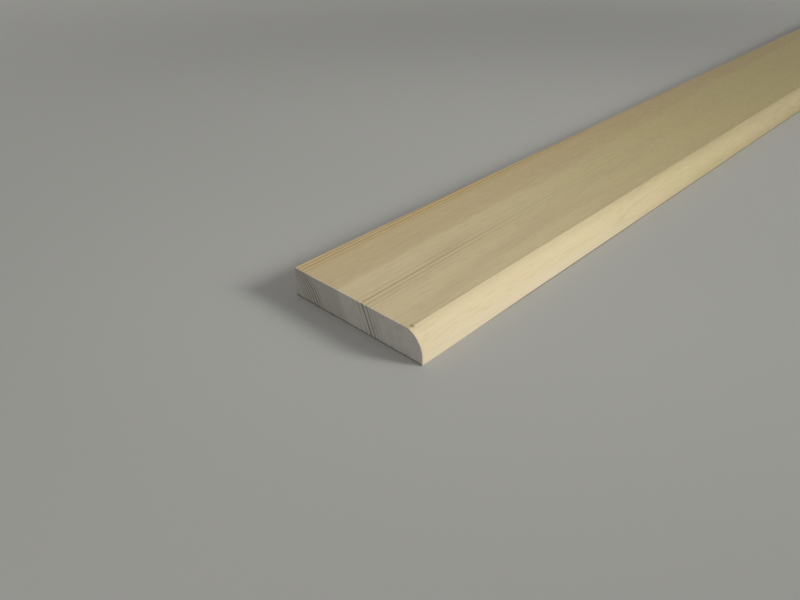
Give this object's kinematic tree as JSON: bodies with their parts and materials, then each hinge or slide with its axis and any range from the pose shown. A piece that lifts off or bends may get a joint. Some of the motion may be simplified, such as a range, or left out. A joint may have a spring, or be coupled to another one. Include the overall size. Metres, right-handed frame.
{
  "type": "pencil round skirting board",
  "caption": "Length of planed softwood skirting board with one long edge rounded over to the show face, to cover the joint between wall and floor.",
  "frame": {"origin": "middle of the back face, halfway along the board and across its width", "axes": "+X along the board, away from the end seen in the picture; +Y across the width, towards the square edge that stands on the floor in use, with the rounded edge at -Y; +Z out of the show face. The board lies on its back face."},
  "size_m": [2.4, 0.1, 0.019],
  "materials": {
    "planed_pine": "planed and moulded, unfinished; both ends sawn square"
  },
  "bodies": {
    "root": {"skirting_board": "planed_pine"}
  },
  "joints": []
}
